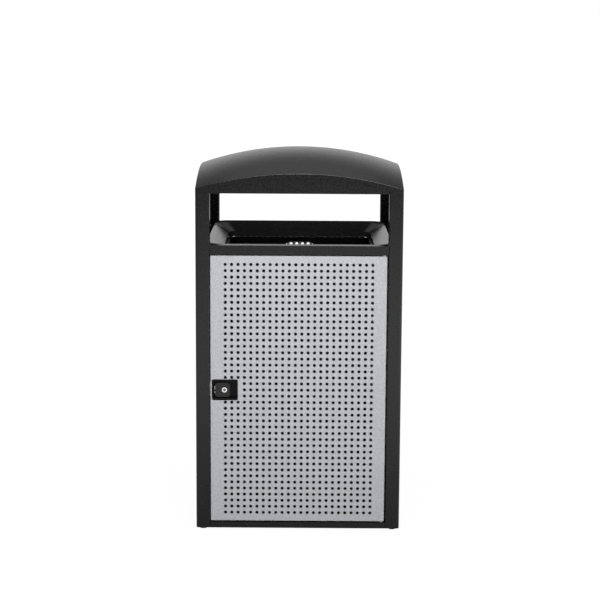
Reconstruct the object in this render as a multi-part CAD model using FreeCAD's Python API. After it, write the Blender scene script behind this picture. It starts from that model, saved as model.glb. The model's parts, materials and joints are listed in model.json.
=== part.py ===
import FreeCAD, Part
import math
import os

# Outdoor litter bin: tube frame, domed roof, perforated door with a paddle latch, lift-out liner.
# Millimetres. The origin is the floor point under the middle, +Z is up and the door faces -Y.

V = FreeCAD.Vector

# Frame
width = 600.0
depth = 555.0
foot_lift = 5.5
post_size = 41.0
post_wall = 2.0
outer_radius = 8.0
tube_radius = 3.0
bottom_rail_height = 18.0
mid_rail_height = 27.0
mid_rail_depth = 28.0
rail_wall = 2.0
feed_height = 150.3

# Roof and fascias
arch_height = 57.9
arch_drop = 44.7
roof_rise = 54.5
roof_drop = 51.8
roof_rim = 14.0
roof_rim_width = 6.0
roof_edge_radius = 3.0
roof_sheet = 3.0
plate = 2.5
fascia_flange = 25.0
bearer_offset = 180.0
bearer_width = 30.0
bearer_thickness = 4.0
roof_stud_radius = 3.0
roof_stud_offset = 150.0
roof_stud_below = 8.0
roof_nut_width = 10.0
roof_nut_height = 5.0

# Perforated panels
panel_height = 793.8
panel_gap = 3.0
panel_recess = 2.0
panel_depth = 16.0
sheet = 2.0
bend_radius = 1.8
tray_corner = 3.0
tray_lip = 12.0
face_border = 14.0
hole_pitch = 18.56
hole_radius = 4.75
hole_side_margin = 36.0
hole_end_margin = 20.0

# Cleats that hold the fixed panels
cleat_thickness = 3.0
cleat_length = 30.0
cleat_reach = 14.0
cleat_return = 20.0
cleat_count = 3
cleat_end_margin = 110.0
screw_radius = 2.5
screw_head_radius = 4.5
screw_head_height = 2.6
screw_socket = 3.0
screw_grip = 4.0

# Base pan
pan_thickness = 2.0
pan_overlap = 15.0
pan_screw_offset = 200.0
anchor_radius = 6.5
anchor_spacing_x = 476.0
anchor_spacing_y = 300.0
drain_radius = 6.0
drain_spacing = 90.0

# Hopper
hopper_sheet = 2.0
hopper_edge_gap = 2.0
hopper_drop = 27.5
throat_width = 451.5
throat_depth = 427.0
hopper_top_radius = 44.0
throat_radius = 28.0
hopper_spout = 16.0
hopper_lip = 3.0
hopper_flange = 22.0
hopper_flange_end_gap = 6.0
hopper_screw_offset = 150.0

# Liner
liner_bottom_width = 410.0
liner_bottom_depth = 400.0
liner_top_width = 444.0
liner_top_depth = 432.0
liner_height = 780.5
liner_wall = 2.5
liner_floor = 3.0
liner_radius = 30.0
liner_rim = 8.0
liner_rim_height = 6.0
hand_hole_width = 90.0
hand_hole_height = 32.0
hand_hole_drop = 30.0

# Door
door_gap_latch_side = 2.0
door_gap_hinge_side = 4.0
door_depth = 18.0
hinge_inset = 8.0
hinge_setback = 8.0
hinge_pin_radius = 3.0
hinge_pin_reach = 19.0
bush_radius = 4.5
bush_flange_radius = 7.0
bush_length = 19.0
hinge_block_width = 16.0
hinge_block_height = 20.0
door_stop_offset = 275.0
door_stop_height = 30.0
door_stop_thickness = 3.0
door_stop_reach = 18.0
door_stop_return = 17.0
buffer_width = 10.0
buffer_thickness = 3.2

# Latch
latch_inset = 4.0
latch_width = 76.0
latch_height = 62.0
latch_plate = 1.5
latch_corner = 4.0
latch_border_side = 5.0
latch_border_end = 6.0
latch_wall = 2.0
latch_cavity = 11.5
paddle_width = 43.0
paddle_height = 42.5
paddle_thickness = 3.5
paddle_corner = 9.0
paddle_gap = 5.0
paddle_setback = 0.2
pivot_inset = 1.0
pivot_setback = 4.0
paddle_pin_radius = 1.5
knuckle_radius = 3.8
long_knuckle = 9.4
long_knuckle_offset = 5.6
short_knuckle = 4.6
short_knuckle_offset = -7.7
paddle_swing = 35.0
arm_width = 10.0
arm_thickness = 4.0
arm_overlap = 1.2
arm_play = 2.0
lock_from_pivot = 26.0
lock_ring_radius = 7.5
lock_ring_height = 0.5
barrel_radius = 6.4
plug_radius = 4.6
keyway_width = 2.2
keyway_height = 6.0
keyway_depth = 3.0
cam_thickness = 1.5
cam_length = 13.0
cam_width = 7.0
keeper_height = 10.0
keeper_wall = 3.0
keeper_nose = 4.0
keeper_nose_thickness = 1.5
bolt_height = 14.0
bolt_thickness = 8.0
bolt_throw = 9.0
bolt_bar_length = 53.0
bolt_bevel = 6.0
bolt_rod_radius = 3.0
bolt_rod_past_lug = 5.0
bolt_window_play = 3.0
bolt_lug_thickness = 5.0
bolt_lug_border = 4.0
bolt_guide_length = 12.0
spring_length = 24.0
spring_wire = 0.8
spring_turns = 6
strike_thickness = 1.2
strike_width = 22.0
strike_height = 44.0
clamp_thickness = 2.0
clamp_tab_width = 50.0
clamp_tab_height = 70.0
latch_screw_radius = 1.0
latch_screw_head_radius = 1.8
latch_screw_head_height = 1.5
latch_screw_grip = 1.0
latch_screw_offset = 25.0

# Levelling feet
foot_radius = 12.5
foot_edge = 1.6
foot_neck_radius = 9.0
foot_pad_height = 4.0
foot_stem_radius = 5.0
foot_stem_length = 40.0
insert_height = 12.0

# Fits
running = 0.05
press = 0.02
slide = 0.2
loose = 0.3

# Levels and planes that follow from the sizes above
half_width = width / 2
half_depth = depth / 2
post_x = half_width - post_size
post_y = half_depth - post_size
rail_top = foot_lift + bottom_rail_height
panel_bottom = rail_top + panel_gap
panel_top = panel_bottom + panel_height
panel_middle = (panel_bottom + panel_top) / 2
mid_rail_bottom = panel_top + panel_gap
mid_rail_top = mid_rail_bottom + mid_rail_height
fascia_bottom = mid_rail_top + feed_height
arch_crest = fascia_bottom + arch_height
pan_top = rail_top + pan_thickness

# Door and latch places
door_left = -post_x + door_gap_latch_side
door_right = post_x - door_gap_hinge_side
door_front = -half_depth + panel_recess
door_back = door_front + door_depth
hinge_x = door_right - hinge_inset
hinge_y = door_front + hinge_setback
latch_left = door_left + latch_inset
latch_right = latch_left + latch_width
latch_front = door_front - latch_plate
cavity_left = latch_left + latch_border_side
cavity_right = latch_right - latch_border_side
cavity_half = latch_height / 2 - latch_border_end
cavity_back = door_front + latch_cavity
tray_back = cavity_back + latch_wall
paddle_left = cavity_left + paddle_gap
paddle_right = paddle_left + paddle_width
paddle_front = latch_front + paddle_setback
paddle_back = paddle_front + paddle_thickness
pivot_x = paddle_left + pivot_inset
pivot_y = latch_front + pivot_setback
lock_x = pivot_x + lock_from_pivot
lock_back = cavity_back - 2 * slide - cam_thickness
bolt_front = door_back + loose
bolt_back = bolt_front + bolt_thickness
bolt_middle = (bolt_front + bolt_back) / 2
bolt_tip = -post_x - bolt_throw
bolt_shoulder = bolt_tip + bolt_bar_length
lug_left = bolt_shoulder + spring_length
lug_right = lug_left + bolt_lug_thickness
bolt_end = lug_right + bolt_rod_past_lug
latch_screw_tip = door_front - latch_screw_grip


def plan(z):
    """Places (x, y) on the level plane at height z."""
    return lambda a, b: V(a, b, z)


def front_view(y):
    """Places (x, z) on the upright plane at depth y."""
    return lambda a, b: V(a, y, b)


def outline(corners, place):
    """Closed wire through corners (a, b, radius), each rounded by its own radius."""
    points = [V(a, b, 0) for a, b, radius in corners]
    turns = []
    for i, (a, b, radius) in enumerate(corners):
        point = points[i]
        back = (points[i - 1] - point).normalize()
        ahead = (points[(i + 1) % len(points)] - point).normalize()
        if radius > 0:
            half = back.getAngle(ahead) / 2
            reach = radius / math.tan(half)
            bulge = radius / math.sin(half) - radius
            middle = point + (back + ahead).normalize() * bulge
            turns.append((point + back * reach, middle, point + ahead * reach))
        else:
            turns.append((point, None, point))
    edges = []
    for i, (start, middle, end) in enumerate(turns):
        if middle is not None:
            edges.append(Part.Arc(place(*start[:2]), place(*middle[:2]), place(*end[:2])).toShape())
        following = turns[(i + 1) % len(turns)][0]
        edges.append(Part.LineSegment(place(*end[:2]), place(*following[:2])).toShape())
    return Part.Wire(edges)


def rectangle(a0, b0, a1, b1, radius=0.0):
    """Corners of a rectangle with one radius."""
    return [(a0, b0, radius), (a1, b0, radius), (a1, b1, radius), (a0, b1, radius)]


def prism(corners, place, push):
    """Solid made by pushing an outline along a vector."""
    return Part.Face(outline(corners, place)).extrude(push)


def box(x0, y0, z0, x1, y1, z1):
    """Block between two opposite corners."""
    return Part.makeBox(x1 - x0, y1 - y0, z1 - z0, V(x0, y0, z0))


def rod(radius, start, end):
    """Round bar between two points."""
    along = end - start
    return Part.makeCylinder(radius, along.Length, start, along)


def hexagon(across_flats, z0, z1):
    """Hexagonal bar about the Z axis."""
    corner = across_flats / math.sqrt(3)
    angles = [math.radians(60 * i) for i in range(6)]
    corners = [(corner * math.cos(t), corner * math.sin(t), 0) for t in angles]
    return prism(corners, plan(z0), V(0, 0, z1 - z0))


def placed(shape, position, direction):
    """Copy of a shape made along +Z, turned to a direction and moved to a position."""
    copy = shape.copy()
    copy.Placement = FreeCAD.Placement(position, FreeCAD.Rotation(V(0, 0, 1), direction))
    return copy


def turned(shape, degrees):
    """Copy of a shape turned about the bin's upright middle axis."""
    copy = shape.copy()
    copy.rotate(V(0, 0, 0), V(0, 0, 1), degrees)
    return copy


def screw(length):
    """Socket button screw whose head sits on z = 0 and whose shank points down."""
    head = rod(screw_head_radius, V(0, 0, 0), V(0, 0, screw_head_height))
    top = [edge for edge in head.Edges if edge.CenterOfMass.z > screw_head_height - 0.01]
    head = head.makeFillet(screw_head_height / 2, [e for e in top if e.Closed])
    head = head.cut(hexagon(screw_socket, screw_head_height / 2, screw_head_height))
    return head.fuse(rod(screw_radius, V(0, 0, -length), V(0, 0, 0)))


def screw_hole(position, direction, length):
    """Clearance hole for one screw."""
    return rod(screw_radius + running, position + direction, position - direction * length)


# Frame

def make_post(side_x, side_y):
    """Square tube post at one corner, cut to the roof's underside."""
    x0, x1 = side_x * half_width, side_x * post_x
    y0, y1 = side_y * half_depth, side_y * post_y
    wall_x, wall_y = side_x * post_wall, side_y * post_wall
    bore = tube_radius - post_wall
    outer = [(x0, y0, outer_radius), (x1, y0, tube_radius), (x1, y1, tube_radius), (x0, y1, tube_radius)]
    inner = [
        (x0 - wall_x, y0 - wall_y, outer_radius - post_wall),
        (x1 + wall_x, y0 - wall_y, bore),
        (x1 + wall_x, y1 + wall_y, bore),
        (x0 - wall_x, y1 + wall_y, bore),
    ]
    rise = V(0, 0, arch_crest + roof_rise - foot_lift)
    tube = prism(outer, plan(foot_lift), rise).cut(prism(inner, plan(foot_lift), rise))
    return tube.common(roof_seat)


def tube_along_x(x0, x1, y0, y1, z0, z1):
    """Rectangular tube that runs along X."""
    shell = box(x0, y0, z0, x1, y1, z1)
    return shell.cut(box(x0, y0 + rail_wall, z0 + rail_wall, x1, y1 - rail_wall, z1 - rail_wall))


def tube_along_y(x0, x1, y0, y1, z0, z1):
    """Rectangular tube that runs along Y."""
    shell = box(x0, y0, z0, x1, y1, z1)
    return shell.cut(box(x0 + rail_wall, y0, z0 + rail_wall, x1 - rail_wall, y1, z1 - rail_wall))


def make_rails():
    """Bottom and mid rails between the posts, with the holes for hinge pins and screws."""
    front_low = tube_along_x(-post_x, post_x, -half_depth, -post_y, foot_lift, rail_top)
    rear_low = turned(front_low, 180)
    rail_back = -half_depth + mid_rail_depth
    front_mid = tube_along_x(-post_x, post_x, -half_depth, rail_back, mid_rail_bottom, mid_rail_top)
    rear_mid = turned(front_mid, 180)
    left_low = tube_along_y(-half_width, -post_x, -post_y, post_y, foot_lift, rail_top)
    rail_inner = -half_width + mid_rail_depth
    left_mid = tube_along_y(-half_width, rail_inner, -post_y, post_y, mid_rail_bottom, mid_rail_top)
    right_low = turned(left_low, 180)
    right_mid = turned(left_mid, 180)
    down = V(0, 0, 1)
    for position in pan_screw_places():
        hole = screw_hole(position, down, 2 * screw_grip)
        front_low = front_low.cut(hole)
        rear_low = rear_low.cut(hole)
    for position in hopper_screw_places():
        hole = screw_hole(position, down, 2 * screw_grip)
        left_mid = left_mid.cut(hole)
        right_mid = right_mid.cut(hole)
    pin = hinge_pin_radius + press
    low_end, high_end = V(hinge_x, hinge_y, rail_top - rail_wall), V(hinge_x, hinge_y, rail_top)
    front_low = front_low.cut(rod(pin, low_end, high_end))
    low_end, high_end = V(hinge_x, hinge_y, mid_rail_bottom), V(hinge_x, hinge_y, mid_rail_bottom + rail_wall)
    front_mid = front_mid.cut(rod(pin, low_end, high_end))
    return {
        "bottom_rail_front": front_low,
        "bottom_rail_rear": rear_low,
        "bottom_rail_left": left_low,
        "bottom_rail_right": right_low,
        "mid_rail_front": front_mid,
        "mid_rail_rear": rear_mid,
        "mid_rail_left": left_mid,
        "mid_rail_right": right_mid,
    }


# Roof

def arch_section(y, half, sink, base):
    """Upright section of the roof block at depth y: flat base, upright sides and an arc on top."""
    fullness = 1 - (y / half_depth) ** 2
    crest = arch_crest + roof_rise * fullness - sink
    drop = arch_drop + (roof_drop - arch_drop) * fullness
    radius = (half_width ** 2 + drop ** 2) / (2 * drop)
    eave = crest - radius + math.sqrt(radius ** 2 - half ** 2)
    low_left, low_right = V(-half, y, base), V(half, y, base)
    left, right = V(-half, y, eave), V(half, y, eave)
    over = Part.Arc(right, V(0, y, crest), left).toShape()
    sides = [(low_left, low_right), (low_right, right)]
    edges = [Part.LineSegment(start, end).toShape() for start, end in sides]
    edges += [over, Part.LineSegment(left, low_left).toShape()]
    return Part.Wire(edges)


def roof_block(inset, sink, base):
    """Solid under the doubly curved roof surface, drawn in by inset and lowered by sink."""
    reach = half_depth - inset
    sections = [arch_section(y, half_width - inset, sink, base) for y in (-reach, 0.0, reach)]
    return Part.makeLoft(sections, True, False)


def make_roof():
    """Domed roof sheet with a thick rounded rim that sits on the posts and fascias."""
    block = roof_block(0.0, 0.0, mid_rail_top)
    corners = [edge for edge in block.Edges if edge.BoundBox.ZLength > feed_height]
    block = block.makeFillet(outer_radius, corners)
    rim = [edge for edge in block.Edges if edge.BoundBox.ZMin > fascia_bottom]
    block = block.makeFillet(roof_edge_radius, rim)
    return block.cut(roof_seat).cut(roof_hollow)


def make_fascia():
    """Arched front plate with a flange turned in along its lower edge."""
    top = arch_crest + roof_rise
    face = box(-post_x, -half_depth, fascia_bottom, post_x, -half_depth + plate, top)
    flange_back = -half_depth + fascia_flange
    flange = box(-post_x, -half_depth + plate, fascia_bottom, post_x, flange_back, fascia_bottom + plate)
    return face.common(roof_seat).fuse(flange).removeSplitter()


def make_side_plate():
    """Closed plate between the left posts, from the mid rail up to the roof."""
    top = arch_crest + roof_rise
    return box(-half_width, -post_y, mid_rail_top, -half_width + plate, post_y, top).common(roof_seat)


def stud_places():
    """Plan places of the roof studs."""
    return [(sx * bearer_offset, sy * roof_stud_offset) for sx in (-1, 1) for sy in (-1, 1)]


def make_roof_fixings():
    """Two bearers on the fascia flanges, with the roof's studs through them and nuts below."""
    z0 = fascia_bottom + plate
    reach = half_depth - plate
    bearers = {}
    for name, side in (("left", -1), ("right", 1)):
        x0 = side * bearer_offset - bearer_width / 2
        bar = box(x0, -reach, z0, x0 + bearer_width, reach, z0 + bearer_thickness)
        for x, y in stud_places():
            bar = bar.cut(rod(roof_stud_radius + slide, V(x, y, z0), V(x, y, z0 + bearer_thickness)))
        bearers["roof_bearer_" + name] = bar
    studs, nuts = [], []
    nut = hexagon(roof_nut_width, z0 - roof_nut_height, z0)
    nut = nut.cut(rod(roof_stud_radius + running, V(0, 0, z0 - roof_nut_height), V(0, 0, z0)))
    for x, y in stud_places():
        stud = rod(roof_stud_radius, V(x, y, z0 - roof_stud_below), V(x, y, arch_crest + roof_rise))
        studs.append(stud.common(roof_hollow))
        nuts.append(nut.translated(V(x, y, 0)))
    bearers["roof_studs"] = Part.makeCompound(studs)
    bearers["roof_nuts"] = Part.makeCompound(nuts)
    return bearers


# Perforated panels

def grid(count):
    """Evenly pitched places about zero."""
    return [(i - (count - 1) / 2) * hole_pitch for i in range(count)]


def hole_places(panel_width):
    """Hole centres (x, z) of a panel, as many as fit between its margins."""
    columns = int((panel_width - 2 * hole_side_margin) / hole_pitch) + 1
    rows = int((panel_height - 2 * hole_end_margin) / hole_pitch) + 1
    return [(x, panel_middle + z) for x in grid(columns) for z in grid(rows)]


def clear_of_latch(x, z):
    """True where a hole keeps clear of the latch plate."""
    beside = x - hole_radius > latch_right + panel_recess or x + hole_radius < latch_left
    return beside or abs(z - panel_middle) - hole_radius > latch_height / 2


def tray(left, right, front, deep):
    """Folded tray with round bends, a lip turned in at the back and an open middle."""
    rim = rectangle(left, panel_bottom, right, panel_top, tray_corner)
    slab = prism(rim, front_view(front), V(0, deep, 0))
    face_edges = [edge for edge in slab.Edges if edge.BoundBox.YMax < front + bend_radius / 2]
    slab = slab.makeFillet(bend_radius, face_edges)
    back = front + deep
    inside = box(
        left + sheet, front + sheet, panel_bottom + sheet, right - sheet, back - sheet, panel_top - sheet
    )
    mouth = box(
        left + tray_lip, back - sheet, panel_bottom + tray_lip, right - tray_lip, back, panel_top - tray_lip
    )
    window = box(
        left + face_border, front, panel_bottom + face_border,
        right - face_border, front + sheet, panel_top - face_border
    )
    return slab.cut(inside).cut(mouth).cut(window)


def perforated_face(left, right, front, holes):
    """Middle of a tray's face with its round holes."""
    border = rectangle(
        left + face_border, panel_bottom + face_border, right - face_border, panel_top - face_border
    )
    wires = [outline(border, front_view(front))]
    for x, z in holes:
        circle = Part.makeCircle(hole_radius, V(x, front, z), V(0, 1, 0))
        wires.append(Part.Wire(circle))
    return Part.Face(wires).extrude(V(0, sheet, 0))


def cleat_heights():
    """Heights of the cleats up a post."""
    step = (panel_height - 2 * cleat_end_margin) / (cleat_count - 1)
    return [panel_bottom + cleat_end_margin + i * step for i in range(cleat_count)]


def cleat_screw_places(opening, plane):
    """Screw heads on the cleats of a panel that faces -Y, with the panel's plane at y = plane."""
    back = plane + panel_recess + panel_depth
    across = opening - panel_gap - tray_lip / 2
    return [V(side * across, back + cleat_thickness, z) for side in (-1, 1) for z in cleat_heights()]


def make_fixed_panel(opening, plane):
    """Perforated tray that faces -Y in an opening of half width opening."""
    left, right = -opening + panel_gap, opening - panel_gap
    front = plane + panel_recess
    border = tray(left, right, front, panel_depth)
    for position in cleat_screw_places(opening, plane):
        border = border.cut(screw_hole(position, V(0, 1, 0), 2 * screw_grip))
    return border.fuse(perforated_face(left, right, front, hole_places(right - left)))


def make_cleats(opening, plane):
    """Angles on the post faces behind a panel that faces -Y."""
    back = plane + panel_recess + panel_depth
    cleats = []
    for z in cleat_heights():
        z0, z1 = z - cleat_length / 2, z + cleat_length / 2
        lap = box(opening - cleat_reach, back, z0, opening, back + cleat_thickness, z1)
        leg = box(opening - cleat_thickness, back, z0, opening, back + cleat_return, z1)
        right_hand = lap.fuse(leg).removeSplitter()
        left_hand = right_hand.mirror(V(0, 0, 0), V(1, 0, 0))
        cleats += [right_hand, left_hand]
    drilled = []
    for cleat in cleats:
        for position in cleat_screw_places(opening, plane):
            cleat = cleat.cut(screw_hole(position, V(0, 1, 0), 2 * screw_grip))
        drilled.append(cleat)
    return drilled


def make_cleat_screws(opening, plane):
    """Screws that clamp a panel's lip to its cleats."""
    one = screw(cleat_thickness + screw_grip)
    return [placed(one, position, V(0, 1, 0)) for position in cleat_screw_places(opening, plane)]


def make_panels():
    """Rear, left and right panels with all their cleats and screws."""
    sides = [
        (post_x, -half_depth, [("rear", 180)]),
        (post_y, -half_width, [("left", -90), ("right", 90)]),
    ]
    nodes = {}
    cleats, screws = [], []
    for opening, plane, turns in sides:
        panel = make_fixed_panel(opening, plane)
        for name, angle in turns:
            nodes["perforated_panel_" + name] = turned(panel, angle)
            cleats += [turned(cleat, angle) for cleat in make_cleats(opening, plane)]
            screws += [turned(one, angle) for one in make_cleat_screws(opening, plane)]
    nodes["panel_cleats"] = Part.makeCompound(cleats)
    nodes["panel_screws"] = Part.makeCompound(screws)
    return nodes


# Base pan

def pan_screw_places():
    """Screw heads on the base pan, over the front and rear rails."""
    y = post_y + pan_overlap / 2
    return [V(sx * pan_screw_offset, sy * y, pan_top) for sx in (-1, 1) for sy in (-1, 1)]


def make_base_pan():
    """Floor sheet on the bottom rails, notched round the posts, with anchor and drain holes."""
    thick = V(0, 0, pan_thickness)
    long_x, short_x = post_x + pan_overlap, post_x - loose
    long_y, short_y = post_y + pan_overlap, post_y - loose
    across = prism(rectangle(-long_x, -short_y, long_x, short_y), plan(rail_top), thick)
    along = prism(rectangle(-short_x, -long_y, short_x, long_y), plan(rail_top), thick)
    pan = across.fuse(along).removeSplitter()
    holes = [screw_hole(position, V(0, 0, 1), 2 * screw_grip) for position in pan_screw_places()]
    for sx in (-1, 1):
        for sy in (-1, 1):
            x, y = sx * anchor_spacing_x / 2, sy * anchor_spacing_y / 2
            holes.append(rod(anchor_radius, V(x, y, rail_top), V(x, y, pan_top)))
            x, y = sx * drain_spacing, sy * drain_spacing
            holes.append(rod(drain_radius, V(x, y, rail_top), V(x, y, pan_top)))
    for hole in holes:
        pan = pan.cut(hole)
    return pan


# Hopper

def hopper_screw_places():
    """Screw heads on the hopper's flanges, over the side rails."""
    x = half_width - mid_rail_depth / 2
    z = mid_rail_top + hopper_sheet
    return [V(sx * x, sy * hopper_screw_offset, z) for sx in (-1, 1) for sy in (-1, 1)]


def hopper_level(half_x, half_y, radius, grow):
    """Rounded plan outline of the hopper, let out all round by grow."""
    return rectangle(-half_x - grow, -half_y - grow, half_x + grow, half_y + grow, radius + grow)


def make_hopper():
    """Sloped funnel on two side flanges, with a spout over the liner and a raised lip at the rear."""
    top_x = half_width - mid_rail_depth - hopper_edge_gap
    top_y = half_depth - mid_rail_depth - hopper_edge_gap
    top_z = mid_rail_top + hopper_sheet
    throat_z = top_z - hopper_drop
    edge = hopper_level(top_x, top_y, hopper_top_radius, 0.0)
    mouth = hopper_level(throat_width / 2, throat_depth / 2, throat_radius, 0.0)
    space = Part.makeLoft([outline(edge, plan(top_z)), outline(mouth, plan(throat_z))], True, True)
    funnel = space.translated(V(0, 0, -hopper_sheet)).cut(space)
    spout = hopper_level(throat_width / 2, throat_depth / 2, throat_radius, hopper_sheet)
    fall = V(0, 0, -hopper_spout)
    funnel = funnel.fuse(prism(spout, plan(throat_z), fall)).cut(prism(mouth, plan(throat_z), fall))
    rise = V(0, 0, hopper_sheet + hopper_lip)
    inside = hopper_level(top_x, top_y, hopper_top_radius, -hopper_sheet)
    lip = prism(edge, plan(mid_rail_top), rise).cut(prism(inside, plan(mid_rail_top), rise))
    rear = box(-top_x, top_y - hopper_top_radius, mid_rail_top, top_x, top_y, top_z + hopper_lip)
    funnel = funnel.fuse(lip.common(rear))
    flange_x = top_x + hopper_flange
    flange_y = post_y - hopper_flange_end_gap
    for side in (-1, 1):
        inner, outer = sorted((side * (top_x - hopper_top_radius), side * flange_x))
        flange = box(inner, -flange_y, mid_rail_top, outer, flange_y, top_z)
        funnel = funnel.fuse(flange.cut(space))
    for position in hopper_screw_places():
        funnel = funnel.cut(screw_hole(position, V(0, 0, 1), 2 * screw_grip))
    return funnel


# Liner

def liner_level(z, inset):
    """Plan outline of the liner's outside at height z, drawn in by inset."""
    share = (z - pan_top) / liner_height
    x = (liner_bottom_width + (liner_top_width - liner_bottom_width) * share) / 2 - inset
    y = (liner_bottom_depth + (liner_top_depth - liner_bottom_depth) * share) / 2 - inset
    return outline(rectangle(-x, -y, x, y, liner_radius - inset), plan(z))


def make_liner():
    """Tapered inner bin with a rim and two hand holes."""
    top = pan_top + liner_height
    outside = Part.makeLoft([liner_level(pan_top, 0.0), liner_level(top, 0.0)], True, True)
    floor = pan_top + liner_floor
    inside = Part.makeLoft([liner_level(floor, liner_wall), liner_level(top, liner_wall)], True, True)
    rim_x, rim_y = liner_top_width / 2 + liner_rim, liner_top_depth / 2 + liner_rim
    edge = rectangle(-rim_x, -rim_y, rim_x, rim_y, liner_radius + liner_rim)
    rim = prism(edge, plan(top - liner_rim_height), V(0, 0, liner_rim_height))
    body = outside.fuse(rim).cut(inside)
    low = top - hand_hole_drop - hand_hole_height / 2
    half = hand_hole_width / 2
    slot = rectangle(-half, low, half, low + hand_hole_height, hand_hole_height / 2 - loose)
    return body.cut(prism(slot, front_view(-half_depth), V(0, depth, 0)))


# Door and hinge

def hinge_ends():
    """Height of each door end on the hinge axis, with the way out of the door there."""
    return [("lower", panel_bottom, -1), ("upper", panel_top, 1)]


def make_door():
    """Perforated door tray with a window for the latch and holes for the hinge bushes."""
    border = tray(door_left, door_right, door_front, door_depth)
    holes = [(x, z) for x, z in hole_places(2 * (post_x - panel_gap)) if clear_of_latch(x, z)]
    face = perforated_face(door_left, door_right, door_front, holes)
    half = cavity_half + latch_wall + loose
    window = box(
        cavity_left - latch_wall - loose, door_front - sheet, panel_middle - half,
        cavity_right + latch_wall + loose, door_front + 2 * sheet, panel_middle + half
    )
    border = border.cut(window)
    for name, z, way in hinge_ends():
        outer, inner = V(hinge_x, hinge_y, z), V(hinge_x, hinge_y, z - way * sheet)
        border = border.cut(rod(bush_radius + press, outer, inner))
    for hole in latch_screw_holes():
        border = border.cut(hole)
        face = face.cut(hole)
    return border.fuse(face.cut(window))


def make_hinge():
    """Pins on the rails, and the bushes and blocks that the door turns on."""
    nodes = {}
    blocks, bushes = [], []
    for name, z, way in hinge_ends():
        inner = z - way * sheet
        block_end = inner - way * hinge_block_height
        x1 = door_right - sheet
        z0, z1 = sorted((inner, block_end))
        y0, y1 = door_front + sheet, door_back - sheet
        block = box(x1 - hinge_block_width, y0, z0, x1, y1, z1)
        axis_in, axis_out = V(hinge_x, hinge_y, block_end), V(hinge_x, hinge_y, inner)
        blocks.append(block.cut(rod(bush_radius + press, axis_in, axis_out)))
        face = V(hinge_x, hinge_y, z)
        tip = V(hinge_x, hinge_y, z - way * bush_length)
        collar = V(hinge_x, hinge_y, z + way * (panel_gap - loose))
        bush = rod(bush_radius, tip, face).fuse(rod(bush_flange_radius, face, collar))
        bushes.append(bush.cut(rod(hinge_pin_radius + running, tip, collar)))
        pin_root = foot_lift + rail_wall if way < 0 else mid_rail_top - rail_wall
        pin_tip = V(hinge_x, hinge_y, z - way * hinge_pin_reach)
        nodes["hinge_pin_" + name] = rod(hinge_pin_radius, V(hinge_x, hinge_y, pin_root), pin_tip)
    nodes["hinge_blocks"] = Part.makeCompound(blocks)
    nodes["hinge_bushes"] = Part.makeCompound(bushes)
    return nodes


def make_door_stops():
    """Two angles on the latch post, each with a rubber buffer that the closed door meets."""
    front = door_back + loose + buffer_thickness
    stops, buffers = [], []
    for side in (-1, 1):
        z0 = panel_middle + side * door_stop_offset - door_stop_height / 2
        z1 = z0 + door_stop_height
        face = box(-post_x, front, z0, -post_x + door_stop_reach, front + door_stop_thickness, z1)
        leg = box(-post_x, front, z0, -post_x + door_stop_thickness, front + door_stop_return, z1)
        stops.append(face.fuse(leg).removeSplitter())
        x1 = -post_x + door_stop_reach
        pad = rectangle(x1 - buffer_width, z0, x1, z1, buffer_width / 4)
        buffers.append(prism(pad, front_view(front), V(0, -buffer_thickness, 0)))
    return {"door_stops": Part.makeCompound(stops), "door_buffers": Part.makeCompound(buffers)}


# Latch

def bolt_passage(x0, x1):
    """Clear way for the bolt's bar between two X places."""
    half = bolt_height / 2 + slide
    return box(x0, bolt_front - slide, panel_middle - half, x1, bolt_back + slide, panel_middle + half)


def make_latch_housing():
    """Dished plate in the door's window, with a keeper for the lock and a lug for the bolt's rod."""
    half = latch_height / 2
    rim = rectangle(latch_left, panel_middle - half, latch_right, panel_middle + half, latch_corner)
    body = prism(rim, front_view(latch_front), V(0, latch_plate, 0))
    wall_half = cavity_half + latch_wall
    body = body.fuse(box(
        cavity_left - latch_wall, door_front, panel_middle - wall_half,
        cavity_right + latch_wall, tray_back, panel_middle + wall_half
    ))
    body = body.cut(box(
        cavity_left, latch_front, panel_middle - cavity_half,
        cavity_right, cavity_back, panel_middle + cavity_half
    ))
    slot_half = arm_width / 2 + loose
    slot_left = pivot_x - arm_thickness / 2 - arm_play
    swing = math.radians(paddle_swing)
    swung_arm = (tray_back - pivot_y) * math.tan(swing) + arm_thickness / 2 / math.cos(swing)
    slot_right = pivot_x + swung_arm + arm_play
    body = body.cut(box(
        slot_left, cavity_back, panel_middle - slot_half, slot_right, tray_back, panel_middle + slot_half
    ))
    post_left = lock_x + cam_length + slide
    nose_back = lock_back - slide
    nose_front = nose_back - keeper_nose_thickness
    low, high = panel_middle - keeper_height / 2, panel_middle + keeper_height / 2
    keeper = box(post_left, nose_front, low, post_left + keeper_wall, cavity_back, high)
    nose = box(post_left - keeper_nose, nose_front, low, post_left, nose_back, high)
    body = body.fuse(keeper).fuse(nose)
    lug_half = bolt_rod_radius + bolt_lug_border
    lug = box(
        lug_left, tray_back, panel_middle - lug_half,
        lug_right, bolt_middle + lug_half, panel_middle + lug_half
    )
    way = V(lug_left, bolt_middle, panel_middle), V(lug_right, bolt_middle, panel_middle)
    body = body.fuse(lug).cut(rod(bolt_rod_radius + slide, *way))
    body = body.cut(rod(paddle_pin_radius + press, *paddle_pin_axis()))
    for x, z in latch_screw_places():
        body = body.cut(rod(latch_screw_radius, V(x, latch_screw_tip, z), V(x, door_front, z)))
    return body.removeSplitter()


def paddle_pin_axis():
    """Ends of the paddle's pin, in the outer faces of the housing's end walls."""
    half = cavity_half + latch_wall
    return V(pivot_x, pivot_y, panel_middle - half), V(pivot_x, pivot_y, panel_middle + half)


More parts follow.
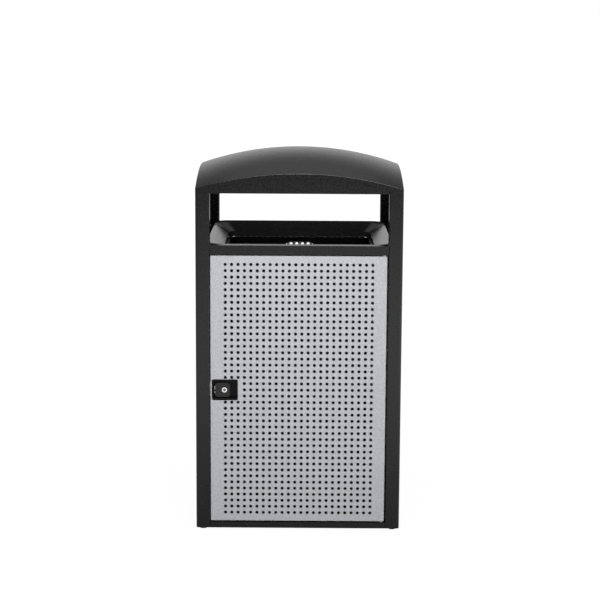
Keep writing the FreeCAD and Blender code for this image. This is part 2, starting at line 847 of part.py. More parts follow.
def make_paddle():
    """Pull paddle with two knuckles on its pin and an arm that draws the bolt."""
    half = paddle_height / 2
    face = rectangle(paddle_left, panel_middle - half, paddle_right, panel_middle + half, paddle_corner)
    body = prism(face, front_view(paddle_front), V(0, paddle_thickness, 0))
    for offset, length in ((long_knuckle_offset, long_knuckle), (short_knuckle_offset, short_knuckle)):
        low = V(pivot_x, pivot_y, panel_middle + offset - length / 2)
        body = body.fuse(rod(knuckle_radius, low, low + V(0, 0, length)))
    low, high = panel_middle - arm_width / 2, panel_middle + arm_width / 2
    arm_x = pivot_x - arm_thickness / 2
    body = body.fuse(box(arm_x, paddle_back, low, arm_x + arm_thickness, bolt_middle + arm_overlap, high))
    body = body.cut(rod(paddle_pin_radius + running, *paddle_pin_axis()))
    front, back = V(lock_x, paddle_front, panel_middle), V(lock_x, paddle_back, panel_middle)
    return body.cut(rod(barrel_radius + press, front, back)).removeSplitter()


def make_lock():
    """Lock barrel fixed in the paddle, and the plug and cam that turn in it."""
    start = V(lock_x, paddle_front, panel_middle)
    ring = V(lock_x, paddle_front - lock_ring_height, panel_middle)
    end = V(lock_x, lock_back, panel_middle)
    barrel = rod(barrel_radius, start, end).fuse(rod(lock_ring_radius, ring, start))
    barrel = barrel.cut(rod(plug_radius + running, ring, end))
    plug = rod(plug_radius, start, end)
    half_slot, half_tall = keyway_width / 2, keyway_height / 2
    plug = plug.cut(box(
        lock_x - half_slot, paddle_front, panel_middle - half_tall,
        lock_x + half_slot, paddle_front + keyway_depth, panel_middle + half_tall
    ))
    half = cam_width / 2
    top, low = panel_middle + plug_radius, panel_middle - cam_length
    lever = rectangle(lock_x - half, low, lock_x + half, top, half - loose)
    cam = prism(lever, front_view(lock_back), V(0, cam_thickness, 0))
    return {"lock_barrel": barrel, "lock_plug": plug, "lock_cam": cam}


def make_bolt():
    """Sliding bolt: bevelled bar with a window for the paddle's arm, and a tail rod for its spring."""
    half = bolt_height / 2
    bar = [
        (bolt_tip, bolt_front, 0), (bolt_shoulder, bolt_front, 0), (bolt_shoulder, bolt_back, 0),
        (bolt_tip + bolt_bevel, bolt_back, 0), (bolt_tip, bolt_back - bolt_bevel, 0),
    ]
    body = prism(bar, plan(panel_middle - half), V(0, 0, bolt_height))
    tail = V(bolt_shoulder, bolt_middle, panel_middle), V(bolt_end, bolt_middle, panel_middle)
    body = body.fuse(rod(bolt_rod_radius, *tail))
    gap = arm_width / 2 + loose
    reach = arm_thickness / 2 + bolt_window_play
    x0, x1 = pivot_x - reach, pivot_x + reach
    return body.cut(box(x0, bolt_front, panel_middle - gap, x1, bolt_back, panel_middle + gap))


def make_bolt_spring():
    """Coil spring on the bolt's rod, between the bar's shoulder and the housing's lug."""
    wire = spring_wire / 2
    radius = bolt_rod_radius + slide + wire
    length = lug_left - bolt_shoulder - slide - spring_wire
    helix = Part.makeHelix(length / spring_turns, length, radius)
    start = V(radius, 0, 0)
    section = Part.Wire(Part.makeCircle(wire, start, V(0, 1, 0)))
    coil = Part.Wire(helix).makePipeShell([section], True, True)
    return placed(coil, V(bolt_shoulder + wire + slide, bolt_middle, panel_middle), V(1, 0, 0))


def make_bolt_guide():
    """Block on the door's back lip that the bolt's bar slides through."""
    half = bolt_height / 2 + bolt_lug_border
    x1 = door_left + bolt_guide_length
    block = box(
        door_left + loose, door_back, panel_middle - half,
        x1, bolt_back + bolt_lug_border, panel_middle + half
    )
    return block.cut(bolt_passage(door_left, x1))


def make_strike():
    """Plate on the latch post's inner face with a slot for the bolt."""
    half = strike_height / 2
    y0 = bolt_middle - strike_width / 2
    plate_body = box(
        -post_x, y0, panel_middle - half, -post_x + strike_thickness, y0 + strike_width, panel_middle + half
    )
    return plate_body.cut(bolt_passage(-post_x, -post_x + strike_thickness))


def latch_screw_places():
    """Screw places (x, z) at the corners of the latch plate."""
    middle = (latch_left + latch_right) / 2
    dz = (latch_height / 2 + cavity_half + latch_wall + loose) / 2
    sides = [(sx, sz) for sx in (-1, 1) for sz in (-1, 1)]
    return [(middle + sx * latch_screw_offset, panel_middle + sz * dz) for sx, sz in sides]


def latch_screw_holes():
    """Clearance holes through the door's sheet for the latch screws."""
    radius = latch_screw_radius + running
    back = door_front + sheet
    return [rod(radius, V(x, door_front, z), V(x, back, z)) for x, z in latch_screw_places()]


def make_latch_clamp():
    """Frame behind the door's sheet that clamps the latch housing, taller at the bolt, with its screws."""
    y0 = door_front + sheet
    y1 = y0 + clamp_thickness
    half = latch_height / 2
    plate_body = box(latch_left, y0, panel_middle - half, latch_right, y1, panel_middle + half)
    tab_half = clamp_tab_height / 2
    tab_right = latch_left + clamp_tab_width
    tab = box(latch_left, y0, panel_middle - tab_half, tab_right, y1, panel_middle + tab_half)
    plate_body = plate_body.fuse(tab).removeSplitter()
    inner = cavity_half + latch_wall + loose
    plate_body = plate_body.cut(box(
        cavity_left - latch_wall - loose, y0, panel_middle - inner,
        cavity_right + latch_wall + loose, y1, panel_middle + inner
    ))
    screws = []
    for x, z in latch_screw_places():
        start, end = V(x, latch_screw_tip, z), V(x, y1, z)
        plate_body = plate_body.cut(rod(latch_screw_radius + running, start, end))
        head = V(x, y1 + latch_screw_head_height, z)
        screws.append(rod(latch_screw_radius, start, end).fuse(rod(latch_screw_head_radius, end, head)))
    return {"latch_clamp": plate_body, "latch_screws": Part.makeCompound(screws)}


# Levelling feet

def foot_corners():
    """Name, X and Y of each levelling foot, under the middle of its post."""
    x, y = half_width - post_size / 2, half_depth - post_size / 2
    return [
        (end + "_" + flank, sx * x, sy * y)
        for end, sy in (("front", -1), ("rear", 1)) for flank, sx in (("left", -1), ("right", 1))
    ]


def make_foot():
    """Round pad with a coned top on a plain stem, about the Z axis."""
    neck = foot_lift - loose
    profile = [
        (0, 0, 0), (foot_radius, 0, foot_edge), (foot_radius, foot_pad_height, foot_edge),
        (foot_neck_radius, neck, 0), (foot_stem_radius, neck, 0),
        (foot_stem_radius, neck + foot_stem_length, 0), (0, neck + foot_stem_length, 0),
    ]
    return Part.Face(outline(profile, front_view(0))).revolve(V(0, 0, 0), V(0, 0, 1), 360)


def make_insert():
    """Block in a post's lower end that takes a foot's stem, about the Z axis."""
    half = post_size / 2 - post_wall
    top = foot_lift + insert_height
    section = rectangle(-half, -half, half, half, outer_radius - post_wall)
    block = prism(section, plan(foot_lift), V(0, 0, insert_height))
    return block.cut(rod(foot_stem_radius + running, V(0, 0, foot_lift), V(0, 0, top)))


# Assembly

roof_seat = roof_block(-outer_radius, roof_rim, 0.0)
roof_hollow = roof_block(roof_rim_width, roof_sheet, 0.0)


def make_frame_nodes():
    """Posts, rails, roof and fascias."""
    nodes = {}
    for end, side_y in (("front", -1), ("rear", 1)):
        for flank, side_x in (("left", -1), ("right", 1)):
            nodes["post_" + end + "_" + flank] = make_post(side_x, side_y)
    slot = bolt_passage(-post_x - 2 * post_wall, -post_x)
    nodes["post_front_left"] = nodes["post_front_left"].cut(slot)
    nodes.update(make_rails())
    nodes["fascia_front"] = make_fascia()
    nodes["fascia_rear"] = turned(nodes["fascia_front"], 180)
    nodes["side_plate_left"] = make_side_plate()
    nodes["side_plate_right"] = turned(nodes["side_plate_left"], 180)
    nodes["roof"] = make_roof()
    nodes.update(make_roof_fixings())
    return nodes


def make_inner_nodes():
    """Base pan, hopper and liner with their screws."""
    pan_screw = screw(pan_thickness + screw_grip)
    hopper_screw = screw(hopper_sheet + screw_grip)
    up = V(0, 0, 1)
    return {
        "base_pan": make_base_pan(),
        "base_pan_screws": Part.makeCompound([placed(pan_screw, p, up) for p in pan_screw_places()]),
        "hopper": make_hopper(),
        "hopper_screws": Part.makeCompound([placed(hopper_screw, p, up) for p in hopper_screw_places()]),
        "liner": make_liner(),
    }


def make_door_nodes():
    """Door, hinge, stops and latch."""
    nodes = {"door_panel": make_door()}
    nodes.update(make_hinge())
    nodes.update(make_door_stops())
    nodes["latch_housing"] = make_latch_housing()
    nodes.update(make_latch_clamp())
    nodes["latch_paddle"] = make_paddle()
    nodes["paddle_pin"] = rod(paddle_pin_radius, *paddle_pin_axis())
    nodes.update(make_lock())
    nodes["latch_bolt"] = make_bolt()
    nodes["bolt_spring"] = make_bolt_spring()
    nodes["bolt_guide"] = make_bolt_guide()
    nodes["strike_plate"] = make_strike()
    return nodes


def make_foot_nodes():
    """Levelling feet and the inserts that hold them."""
    nodes = {}
    inserts = []
    for name, x, y in foot_corners():
        nodes["levelling_foot_" + name] = make_foot().translated(V(x, y, 0))
        inserts.append(make_insert().translated(V(x, y, 0)))
    nodes["foot_inserts"] = Part.makeCompound(inserts)
    return nodes


def main():
    """Builds every node and writes one file for each."""
    os.makedirs("parts", exist_ok=True)
    nodes = {}
    nodes.update(make_frame_nodes())
    nodes.update(make_panels())
    nodes.update(make_inner_nodes())
    nodes.update(make_door_nodes())
    nodes.update(make_foot_nodes())
    for name, shape in nodes.items():
        shape.exportStep("parts/" + name + ".step")
        print(name, len(shape.Solids), "solids", round(shape.Volume), "mm3")


main()
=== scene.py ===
"""Studio picture of an outdoor litter bin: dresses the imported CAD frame, lights it and sets the camera."""

import json
import logging
import math
from dataclasses import dataclass
from enum import Enum
from typing import Any

import bmesh
import bpy
from mathutils import Matrix, Vector

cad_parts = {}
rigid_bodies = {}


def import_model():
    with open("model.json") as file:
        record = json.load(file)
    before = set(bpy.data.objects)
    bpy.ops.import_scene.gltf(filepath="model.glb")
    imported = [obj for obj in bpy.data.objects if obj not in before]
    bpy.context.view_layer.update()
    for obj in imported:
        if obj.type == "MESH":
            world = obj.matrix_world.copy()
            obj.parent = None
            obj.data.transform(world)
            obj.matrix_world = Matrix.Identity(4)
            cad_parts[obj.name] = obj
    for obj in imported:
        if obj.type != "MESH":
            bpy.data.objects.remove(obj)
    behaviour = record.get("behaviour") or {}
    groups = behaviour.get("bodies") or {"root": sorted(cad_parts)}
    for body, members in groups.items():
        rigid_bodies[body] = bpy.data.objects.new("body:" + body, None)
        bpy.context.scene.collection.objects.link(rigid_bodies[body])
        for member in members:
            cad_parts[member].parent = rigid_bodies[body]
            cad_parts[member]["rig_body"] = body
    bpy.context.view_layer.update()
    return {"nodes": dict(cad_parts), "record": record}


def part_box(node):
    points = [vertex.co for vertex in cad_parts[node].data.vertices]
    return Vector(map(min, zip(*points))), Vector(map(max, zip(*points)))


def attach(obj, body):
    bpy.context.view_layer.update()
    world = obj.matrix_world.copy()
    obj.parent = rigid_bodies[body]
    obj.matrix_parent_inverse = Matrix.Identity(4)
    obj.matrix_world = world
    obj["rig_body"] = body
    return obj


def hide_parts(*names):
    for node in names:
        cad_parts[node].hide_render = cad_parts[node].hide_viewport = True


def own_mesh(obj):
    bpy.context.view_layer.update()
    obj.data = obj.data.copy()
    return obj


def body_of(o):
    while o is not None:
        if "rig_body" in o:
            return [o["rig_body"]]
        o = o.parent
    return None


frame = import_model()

LOG = logging.getLogger("litter_bin")
SLOT_OF_NODE: dict[str, str] = {row["node"]: row["material_slot"] for row in frame["record"]["subparts"]}
MM = 0.001
WHITE = (1.0, 1.0, 1.0, 1.0)
# How the fleck noise is layered, and the part of its range that runs from the one colour to the other.
FLECK_LAYERS = 4.0
FLECK_FINENESS = 0.6
FLECK_RANGE = (0.3, 0.7)
GRAIN_LAYERS = 2.0


def linear(colour: str) -> tuple[float, float, float, float]:
    """Turns an sRGB hex colour into Blender's linear colour.

    Args:
        colour: Six hex digits, with or without a leading hash sign.

    Returns:
        Linear red, green, blue and an alpha of one.
    """
    digits = colour.lstrip("#")
    shares = [int(digits[i:i + 2], 16) / 255 for i in (0, 2, 4)]
    red, green, blue = (s / 12.92 if s <= 0.04045 else ((s + 0.055) / 1.055) ** 2.4 for s in shares)
    return red, green, blue, 1.0


def per_metre(size_mm: float) -> float:
    """Gives the texture scale whose features are this many millimetres wide."""
    return 1.0 / (size_mm * MM)


def add_node(
    tree: bpy.types.NodeTree, kind: str, inputs: dict[Any, Any] | None = None, **settings: Any
) -> bpy.types.Node:
    """Adds one shader node with its settings and links.

    Args:
        tree: Node tree that takes the node.
        kind: Blender's name of the node type.
        inputs: Socket name or number to a value, or to the output socket that feeds it.
        settings: Attributes to set on the node.

    Returns:
        The new node.
    """
    node = tree.nodes.new(kind)
    for name, value in settings.items():
        setattr(node, name, value)
    for socket, value in (inputs or {}).items():
        if isinstance(value, bpy.types.NodeSocket):
            tree.links.new(value, node.inputs[socket])
        else:
            node.inputs[socket].default_value = value
    return node


class Sheen(Enum):
    """How much a surface mirrors, as its roughness."""

    POLISHED = 0.08
    GLOSS = 0.22
    SATIN = 0.26
    SOFT = 0.42
    MATT = 0.55


@dataclass(frozen=True)
class Finish:
    """A real material with the way its surface was made.

    Args:
        name: Material name.
        colour: Main colour, sRGB hex.
        fleck: Colour of the fine flecks or blotches, sRGB hex.
        sheen: How much it mirrors.
        grain_mm: Width of the surface's bumps.
        grain_depth_mm: Height of the surface's bumps.
        fleck_mm: Width of the flecks.
        metallic: One for bare metal, zero for paint and plastic.
        roughness_play: How far the roughness wanders.
        specular: Strength of its reflections, 0.5 for common paint and plastic.
    """

    name: str
    colour: str
    fleck: str
    sheen: Sheen
    grain_mm: float
    grain_depth_mm: float
    fleck_mm: float
    metallic: float = 0.0
    roughness_play: float = 0.06
    specular: float = 0.5

    def material(self) -> bpy.types.Material:
        """Builds the material: flecked colour, wandering roughness and a fine bump.

        Returns:
            The finished material.
        """
        material = bpy.data.materials.new(self.name)
        material.use_nodes = True
        tree = material.node_tree
        tree.nodes.clear()
        place = add_node(tree, "ShaderNodeTexCoord").outputs["Object"]
        flecks = add_node(tree, "ShaderNodeTexNoise", {
            "Vector": place, "Scale": per_metre(self.fleck_mm),
            "Detail": FLECK_LAYERS, "Roughness": FLECK_FINENESS,
        })
        share = add_node(tree, "ShaderNodeMapRange", {
            "Value": flecks.outputs["Fac"], "From Min": FLECK_RANGE[0], "From Max": FLECK_RANGE[1],
        }).outputs["Result"]
        colours = add_node(tree, "ShaderNodeMix", {
            0: share, 6: linear(self.colour), 7: linear(self.fleck),
        }, data_type="RGBA")
        wander = add_node(tree, "ShaderNodeMapRange", {
            "Value": share,
            "To Min": self.sheen.value - self.roughness_play,
            "To Max": self.sheen.value + self.roughness_play,
        })
        grain = add_node(tree, "ShaderNodeTexNoise", {
            "Vector": place, "Scale": per_metre(self.grain_mm), "Detail": GRAIN_LAYERS,
        })
        bump = add_node(tree, "ShaderNodeBump", {
            "Height": grain.outputs["Fac"], "Strength": 1.0, "Distance": self.grain_depth_mm * MM,
        })
        shader = add_node(tree, "ShaderNodeBsdfPrincipled", {
            "Base Color": colours.outputs[2], "Roughness": wander.outputs["Result"],
            "Normal": bump.outputs["Normal"],
            "Metallic": self.metallic, "Specular IOR Level": self.specular,
        })
        add_node(tree, "ShaderNodeOutputMaterial", {"Surface": shader.outputs["BSDF"]})
        return material


@dataclass(frozen=True)
class HighlightedCoat(Finish):
    """Coat with a pale grey painted highlight on one side of an upright plane.

    Args:
        highlight_grey: Colour of the painted highlight, sRGB hex.
        edge_x: The plane's X, in metres; the highlight is painted where X is lower.
    """

    highlight_grey: str = "#bdbebf"
    edge_x: float = 0.0

    def material(self) -> bpy.types.Material:
        """Builds the coat and paints the pale grey highlight past the plane.

        Returns:
            The finished material.
        """
        material = super().material()
        tree = material.node_tree
        shader = tree.nodes["Principled BSDF"]
        coat = shader.inputs["Base Color"].links[0].from_socket
        place = add_node(tree, "ShaderNodeTexCoord").outputs["Object"]
        across = add_node(tree, "ShaderNodeSeparateXYZ", {"Vector": place}).outputs["X"]
        # Painted highlight: pale grey colour on the knuckles, where X is below the plane.
        highlighted = add_node(tree, "ShaderNodeMath", {
            0: across, 1: self.edge_x,
        }, operation="LESS_THAN").outputs[0]
        colours = add_node(tree, "ShaderNodeMix", {
            0: highlighted, 6: coat, 7: linear(self.highlight_grey),
        }, data_type="RGBA")
        tree.links.new(colours.outputs[2], shader.inputs["Base Color"])
        return material


# Charcoal powder coat, sprayed and baked: near black, with a fine orange peel that softens reflections.
CHARCOAL_COAT = Finish("charcoal_powder_coat", "#0b0b0c", "#121213", Sheen.SATIN, 2.4, 0.004, 5.0)
# The same coat inside the hopper, glossier and painted a little greyer: a lit copy of the frame's coat that
# lightens the slopes where the roof shades them.
HOPPER_COAT_PAINTED_LIGHT = Finish("charcoal_coat_painted_lighter", "#313132", "#3b3b3c", Sheen.GLOSS, 2.4, 0.003, 9.0)
# Silver powder coat with aluminium flake: pale grey with a fine sparkle and a soft sheen. Real flake is far
# finer than a pixel, so it is drawn coarser.
SILVER_COAT = Finish("silver_powder_coat", "#acadb0", "#c8c9cc", Sheen.SOFT, 2.0, 0.01, 4.5)
# Black die casting, blasted before its coat: dull and darker than the frame.
LATCH_CASTING = Finish(
    "blasted_black_casting", "#060606", "#0a0a0a", Sheen.MATT, 1.6, 0.02, 3.0, specular=0.3
)
# Black coat on the paddle, smoother than the casting, with a pale grey painted highlight on the knuckles
# that turn on the pin.
PADDLE_COAT = HighlightedCoat(
    "black_coated_paddle", "#0d0d0d", "#131313", Sheen.SATIN, 1.6, 0.004, 3.0, edge_x=-0.2432
)
# Bright zinc plate on steel: cool grey with cloudy patches.
ZINC_PLATE = Finish("zinc_plated_steel", "#a9abad", "#c2c3c5", Sheen.GLOSS, 1.2, 0.004, 6.0, 1.0)
# Zinc plate with a black passivate, on the latch's clamp: a dark, faintly cool metal.
BLACK_ZINC = Finish("black_passivated_zinc", "#1c1d1f", "#27282a", Sheen.SATIN, 1.2, 0.004, 6.0, 1.0)
# Chrome plate on brass: mirror bright.
CHROME_PLATE = Finish("chrome_plate", "#fafafa", "#ffffff", Sheen.POLISHED, 2.0, 0.001, 8.0, 1.0, 0.02)
# Satin nickel on the lock's plug: a greyer, brushed face inside the chrome ring.
NICKEL_PLATE = Finish("satin_nickel", "#7c7c7a", "#949492", Sheen.SATIN, 0.8, 0.004, 2.0, 1.0)
# Rotomoulded polyethylene: black and waxy, with a pebbled skin.
LINER_PLASTIC = Finish("rotomoulded_polyethylene", "#0a0a0a", "#101010", Sheen.SOFT, 3.0, 0.03, 8.0)
# Grey acetal: plain mid grey, slightly waxy.
BUSH_PLASTIC = Finish("grey_acetal", "#8e8e8b", "#989895", Sheen.SATIN, 1.5, 0.003, 4.0)
# Glass-filled nylon: black with a faint grain.
FOOT_PLASTIC = Finish("black_nylon", "#151515", "#1c1c1c", Sheen.MATT, 1.0, 0.02, 3.0)
# Moulded rubber: black and dull.
BUFFER_RUBBER = Finish("moulded_rubber", "#141414", "#191919", Sheen.MATT, 1.0, 0.03, 3.0)

FINISH_OF_SLOT: dict[str, Finish] = {
    "charcoal_steel": CHARCOAL_COAT,
    "silver_steel": SILVER_COAT,
    "latch_black": LATCH_CASTING,
    "zinc_steel": ZINC_PLATE,
    "lock_chrome": CHROME_PLATE,
    "liner_plastic": LINER_PLASTIC,
    "bush_nylon": BUSH_PLASTIC,
    "foot_nylon": FOOT_PLASTIC,
    "buffer_rubber": BUFFER_RUBBER,
}
FINISH_OF_NODE: dict[str, Finish] = {
    # The hopper takes the charcoal coat painted lighter, a painted brightening of its shaded slopes.
    "hopper": HOPPER_COAT_PAINTED_LIGHT,
    "latch_clamp": BLACK_ZINC,
    "latch_paddle": PADDLE_COAT,
    "lock_plug": NICKEL_PLATE,
}


class CadDressing:
    """Gives every CAD node its own finish, or else that of its material slot."""

    def dress(self) -> None:
        """Sets one material on each CAD node."""
        finishes = [*FINISH_OF_SLOT.values(), *FINISH_OF_NODE.values()]
        made = {finish: finish.material() for finish in finishes}
        for name, slot in SLOT_OF_NODE.items():
            finish = FINISH_OF_NODE.get(name, FINISH_OF_SLOT[slot])
            mesh = frame["nodes"][name].data
            mesh.materials.clear()
            mesh.materials.append(made[finish])
            LOG.info("dressed %s in %s", name, finish.name)


@dataclass
class SoftEdges:
    """CAD pieces shown with the small edge radius that rolled tube and folded sheet have.

    Args:
        nodes: Names of the CAD nodes.
        radius: Edge radius in metres.
        sharp: Turn between two faces, in degrees, above which their edge is rounded.
        flat: Turn in degrees below which two faces become one before the rounding.
        weld: Distance in metres within which the CAD mesh's points become one.
        facets: Faces across each rounded edge.
    """

    nodes: tuple[str, ...]
    radius: float
    sharp: float = 50.0
    flat: float = 0.5
    weld: float = 1e-6
    facets: int = 2

    def build(self) -> None:
        """Rounds the sharp edges of each piece and lets the result stand for its node."""
        for name in self.nodes:
            node = frame["nodes"][name]
            shape = bmesh.new()
            shape.from_mesh(node.data)
            bmesh.ops.remove_doubles(shape, verts=shape.verts, dist=self.weld)
            bmesh.ops.dissolve_limit(
                shape, angle_limit=math.radians(self.flat), verts=shape.verts, edges=shape.edges
            )
            turn = math.radians(self.sharp)
            edges = [edge for edge in shape.edges if edge.is_manifold and edge.calc_face_angle() > turn]
            bmesh.ops.bevel(
                shape, geom=edges, offset=self.radius, segments=self.facets, profile=0.5,
                affect="EDGES", clamp_overlap=True,
            )
            mesh = bpy.data.meshes.new(name + "_edges")
            shape.to_mesh(mesh)
            shape.free()
            mesh.materials.append(node.data.materials[0])
            piece = bpy.data.objects.new(name + "_edges", mesh)
            bpy.context.scene.collection.objects.link(piece)
            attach(piece, body_of(node)[0])
            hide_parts(name)
            LOG.info("rounded %d edges of %s", len(edges), name)


SIDES = ("front", "rear", "left", "right")
SOFT_EDGES: tuple[SoftEdges, ...] = (
    # Cold-rolled square tube.
    SoftEdges(tuple(f"{level}_rail_{side}" for level in ("bottom", "mid") for side in SIDES), 0.0015),
    # Cut and folded sheet.
    SoftEdges(("fascia_front", "fascia_rear", "side_plate_left", "side_plate_right"), 0.0006),
)


@dataclass
class BoltSpring:
    """Coil spring behind the latch bolt, with closed ends.

    Args:
        wire: Wire radius in metres.
        turns: Number of turns, with one closed turn at each end.
        steps: Cross-sections in each turn.
        sides: Points round the wire.
        drawn: Share of its length that is left when the bolt is drawn; not used.
    """

    wire: float = 0.0004
    turns: int = 8
    steps: int = 28
    sides: int = 10
    drawn: float = 0.54

    def build(self) -> None:
        """Coils the wire in the CAD spring's place."""
        low, high = (Vector(corner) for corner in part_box("bolt_spring"))
        middle = (low + high) / 2
        radius = (high.z - low.z) / 2 - self.wire
        # Two closed turns are each a wire's diameter long, and the wire's radius sticks out at each end.
        pitch = (high.x - low.x - 6 * self.wire) / (self.turns - 2)
        points: list[tuple[float, float, float]] = []
        for step in range(self.turns * self.steps + 1):
            turn = step / self.steps
            closed = min(turn, 1.0) + max(turn - self.turns + 1, 0.0)
            open_turns = min(max(turn - 1.0, 0.0), self.turns - 2.0)
            x = low.x + self.wire * (1 + 2 * closed) + pitch * open_turns
            for side in range(self.sides):
                round_wire = math.tau * side / self.sides
                out = radius + self.wire * math.cos(round_wire)
                y = middle.y + out * math.cos(math.tau * turn)
                z = middle.z + out * math.sin(math.tau * turn)
                points.append((x + self.wire * math.sin(round_wire), y, z))
        faces: list[tuple[int, ...]] = []
        for first in range(0, len(points) - self.sides, self.sides):
            for side in range(self.sides):
                after = (side + 1) % self.sides
                following = first + self.sides
                faces.append((first + side, first + after, following + after, following + side))
        faces.append(tuple(reversed(range(self.sides))))
        faces.append(tuple(range(len(points) - self.sides, len(points))))
        mesh = bpy.data.meshes.new("coil_spring")
        mesh.from_pydata(points, [], faces)
        mesh.shade_smooth()
        mesh.materials.append(frame["nodes"]["bolt_spring"].data.materials[0])
        spring = bpy.data.objects.new("coil_spring", mesh)
        bpy.context.scene.collection.objects.link(spring)
        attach(spring, "door")
        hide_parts("bolt_spring")
        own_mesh(spring)
        LOG.info("coiled the bolt spring")


class Reach(Enum):
    """The visibility that a softbox gives up: it lights matt surfaces only, or shows in shiny ones only."""

    MATT = "visible_glossy"
    SHINY = "visible_diffuse"


@dataclass(frozen=True)
class Softbox:
    """A soft lamp that the camera does not see.

    Args:
        name: Lamp name.
        place: Position in metres.
        aim: Point that it faces, in metres.
        size: Width and height in metres.
        radiance: Brightness of its face, against one for the white background.
        reach: Which surfaces it serves.
    """

    name: str
    place: tuple[float, float, float]
    aim: tuple[float, float, float]
    size: tuple[float, float]
    radiance: float
    reach: Reach

    def hang(self) -> None:
        """Adds the lamp to the scene."""
        lamp = bpy.data.lights.new(self.name, "AREA")
        lamp.shape = "RECTANGLE"
        lamp.size, lamp.size_y = self.size
        lamp.energy = self.radiance * math.pi * lamp.size * lamp.size_y
        holder = bpy.data.objects.new(self.name, lamp)
        holder.location = self.place
        holder.rotation_euler = (Vector(self.aim) - holder.location).to_track_quat("-Z", "Y").to_euler()
        holder.visible_camera = False
        setattr(holder, self.reach.value, False)
        bpy.context.scene.collection.objects.link(holder)


SOFTBOXES: tuple[Softbox, ...] = (
    Softbox("front_softbox", (0.0, -1.5, 0.84), (0, 0, 0.84), (0.7, 0.7), 7.7, Reach.MATT),
    Softbox("left_softbox", (-1.9, 0.0, 0.9), (0, 0, 0.9), (0.7, 0.7), 7.8, Reach.MATT),
    Softbox("right_softbox", (1.9, 0.0, 0.9), (0, 0, 0.9), (0.7, 0.7), 7.8, Reach.MATT),
    Softbox("rear_softbox", (0.0, 1.9, 0.8), (0, 0, 0.8), (0.7, 0.7), 7.8, Reach.MATT),
    # Lights the middle of the roof's curve.
    Softbox("roof_strip", (0.0, 0.45, 3.0), (0, 0.45, 1.0), (1.8, 3.3), 0.28, Reach.SHINY),
    # Draws a fine light line along the roof's rounded front edge.
    Softbox("edge_strip", (0.6, -1.6, 3.7), (0, -0.28, 1.1), (3.6, 1.6), 6.0, Reach.SHINY),
)


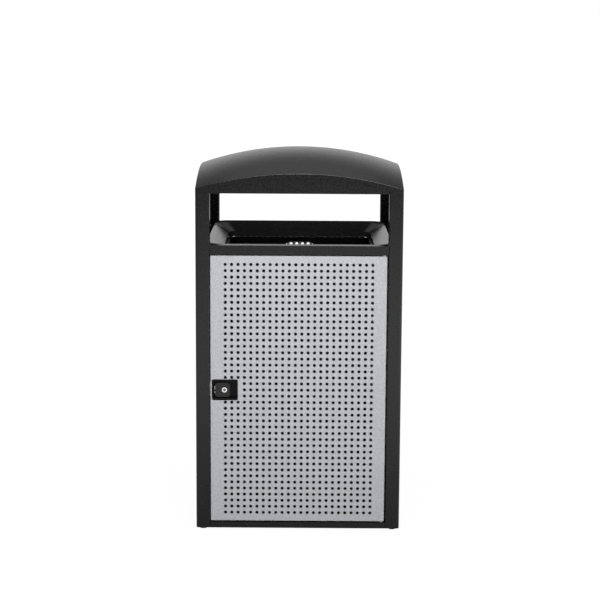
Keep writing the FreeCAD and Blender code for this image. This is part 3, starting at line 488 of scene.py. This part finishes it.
@dataclass
class Studio:
    """White studio: floor, world, soft lamps and the camera of the photograph.

    A row of four numbers is a start, an end, and the brightness at each.

    Args:
        floor_size: Side of the square floor, in metres.
        paper: Colour of the floor, sRGB hex.
        glow: Strength of the floor's own glow where the camera sees it.
        pool_near: The floor in shiny surfaces, by distance close to the bin.
        pool_far: The same, by distance far from it.
        pool_side: The same, from left to right.
        contact: Share of the floor's own glow, by distance; less of it leaves a shadow.
        overhead: The world in shiny surfaces, by the height of the ray.
        behind: The same, from the front to the back.
        beside: The same, by how far the ray goes to either side.
        fill: Strength of the world's soft light.
        sensor: Width of the camera's sensor, in millimetres.
        lens: Focal length, in millimetres.
        shift: Vertical shift, in sensor widths.
        camera_place: Camera position, in metres.
        camera_right: Direction of the picture's right.
        camera_up: Direction of the picture's top.
        camera_back: Direction from the picture to the camera.
    """

    floor_size: float = 60.0
    paper: str = "#d0d0d0"
    glow: float = 1.06
    pool_near: tuple[float, float, float, float] = (0.2, 2.6, 0.34, 1.14)
    pool_far: tuple[float, float, float, float] = (4.4, 9.5, 1.0, 0.1)
    pool_side: tuple[float, float, float, float] = (-1.5, 1.5, 0.75, 1.25)
    contact: tuple[float, float, float, float] = (0.6, 1.5, 0.9, 1.0)
    overhead: tuple[float, float, float, float] = (0.2, 0.62, 0.83, 0.27)
    behind: tuple[float, float, float, float] = (-0.4, 0.2, 0.2, 1.0)
    beside: tuple[float, float, float, float] = (0.1, 0.5, 1.0, 0.6)
    fill: float = 0.35
    sensor: float = 36.0
    lens: float = 91.353
    shift: float = -52.0 / 600.0
    camera_place: tuple[float, float, float] = (0.0112, -4.6166, 1.4903)
    camera_right: tuple[float, float, float] = (0.99998037, 0.00286053, 0.00557459)
    camera_up: tuple[float, float, float] = (-0.00593517, 0.14730960, 0.98907262)
    camera_back: tuple[float, float, float] = (0.00200808, -0.98908630, 0.14732369)

    def build(self) -> None:
        """Makes the floor, world, lamps and camera."""
        self.make_floor()
        self.make_world()
        for softbox in SOFTBOXES:
            softbox.hang()
        self.make_camera()

    def make_floor(self) -> None:
        """Lays a white floor that keeps a faint shadow and lies as a pool of light in shiny surfaces."""
        half = self.floor_size / 2
        mesh = bpy.data.meshes.new("studio_floor")
        corners = [(-half, -half, 0), (half, -half, 0), (half, half, 0), (-half, half, 0)]
        mesh.from_pydata(corners, [], [(0, 1, 2, 3)])
        floor = bpy.data.objects.new("studio_floor", mesh)
        bpy.context.scene.collection.objects.link(floor)
        material = bpy.data.materials.new("white_paper_floor")
        material.use_nodes = True
        tree = material.node_tree
        tree.nodes.clear()
        place = add_node(tree, "ShaderNodeTexCoord").outputs["Object"]
        away = add_node(tree, "ShaderNodeVectorMath", {0: place}, operation="LENGTH").outputs["Value"]
        across = add_node(tree, "ShaderNodeSeparateXYZ", {"Vector": place}).outputs["X"]
        path = add_node(tree, "ShaderNodeLightPath")
        paper = add_node(tree, "ShaderNodeBsdfDiffuse", {"Color": linear(self.paper)}).outputs[0]
        glow = add_node(tree, "ShaderNodeEmission", {"Color": WHITE, "Strength": self.glow}).outputs[0]
        start, end, low, high = self.contact
        share = add_node(tree, "ShaderNodeMapRange", {
            "Value": away, "From Min": start, "From Max": end, "To Min": low, "To Max": high,
        }).outputs["Result"]
        shown = add_node(tree, "ShaderNodeMixShader", {0: share, 1: paper, 2: glow}).outputs[0]
        strength: Any = 1.0
        for value, row in ((away, self.pool_near), (away, self.pool_far), (across, self.pool_side)):
            start, end, low, high = row
            part = add_node(tree, "ShaderNodeMapRange", {
                "Value": value, "From Min": start, "From Max": end, "To Min": low, "To Max": high,
            }).outputs["Result"]
            strength = add_node(tree, "ShaderNodeMath", {
                0: part, 1: strength,
            }, operation="MULTIPLY").outputs[0]
        pool = add_node(tree, "ShaderNodeEmission", {"Color": WHITE, "Strength": strength}).outputs[0]
        lit = add_node(tree, "ShaderNodeMixShader", {0: path.outputs["Is Camera Ray"], 1: paper, 2: shown})
        mirrored = add_node(tree, "ShaderNodeMath", {
            0: path.outputs["Is Glossy Ray"], 1: path.outputs["Is Transmission Ray"],
        }, operation="MAXIMUM")
        surface = add_node(tree, "ShaderNodeMixShader", {
            0: mirrored.outputs[0], 1: lit.outputs[0], 2: pool,
        })
        add_node(tree, "ShaderNodeOutputMaterial", {"Surface": surface.outputs[0]})
        mesh.materials.append(material)

    def make_world(self) -> None:
        """Makes a world that is white to the camera, dimmer in shiny surfaces and a soft fill elsewhere."""
        world = bpy.data.worlds.new("white_studio")
        bpy.context.scene.world = world
        world.use_nodes = True
        tree = world.node_tree
        tree.nodes.clear()
        fill = add_node(tree, "ShaderNodeBackground", {"Color": WHITE, "Strength": self.fill})
        ray = add_node(tree, "ShaderNodeSeparateXYZ", {
            "Vector": add_node(tree, "ShaderNodeTexCoord").outputs["Generated"],
        }).outputs
        across = add_node(tree, "ShaderNodeMath", {0: ray["X"]}, operation="ABSOLUTE").outputs[0]
        dimming: Any = 1.0
        for value, row in ((ray["Z"], self.overhead), (ray["Y"], self.behind), (across, self.beside)):
            start, end, low, high = row
            part = add_node(tree, "ShaderNodeMapRange", {
                "Value": value, "From Min": start, "From Max": end, "To Min": low, "To Max": high,
            }, interpolation_type="SMOOTHSTEP").outputs["Result"]
            dimming = add_node(tree, "ShaderNodeMath", {
                0: part, 1: dimming,
            }, operation="MULTIPLY").outputs[0]
        path = add_node(tree, "ShaderNodeLightPath")
        shown = add_node(tree, "ShaderNodeMath", {
            0: dimming, 1: path.outputs["Is Camera Ray"],
        }, operation="MAXIMUM").outputs[0]
        white = add_node(tree, "ShaderNodeBackground", {"Color": WHITE, "Strength": shown})
        seen: Any = path.outputs["Is Camera Ray"]
        for kind in ("Is Glossy Ray", "Is Transmission Ray"):
            seen = add_node(tree, "ShaderNodeMath", {
                0: seen, 1: path.outputs[kind],
            }, operation="MAXIMUM").outputs[0]
        mix = add_node(tree, "ShaderNodeMixShader", {0: seen, 1: fill.outputs[0], 2: white.outputs[0]})
        add_node(tree, "ShaderNodeOutputWorld", {"Surface": mix.outputs[0]})

    def make_camera(self) -> None:
        """Sets the camera where the photograph was taken from."""
        lens = bpy.data.cameras.new("camera")
        lens.sensor_width = self.sensor
        lens.lens = self.lens
        lens.shift_y = self.shift
        camera = bpy.data.objects.new("camera", lens)
        turn = Matrix((self.camera_right, self.camera_up, self.camera_back)).transposed()
        camera.matrix_world = Matrix.Translation(self.camera_place) @ turn.to_4x4()
        bpy.context.scene.collection.objects.link(camera)
        bpy.context.scene.camera = camera


def main() -> None:
    """Builds the scene in order."""
    logging.basicConfig(level=logging.INFO)
    bpy.context.scene.view_settings.view_transform = "Standard"
    CadDressing().dress()
    for pieces in SOFT_EDGES:
        pieces.build()
    BoltSpring().build()
    Studio().build()


if __name__ == "__main__":
    main()
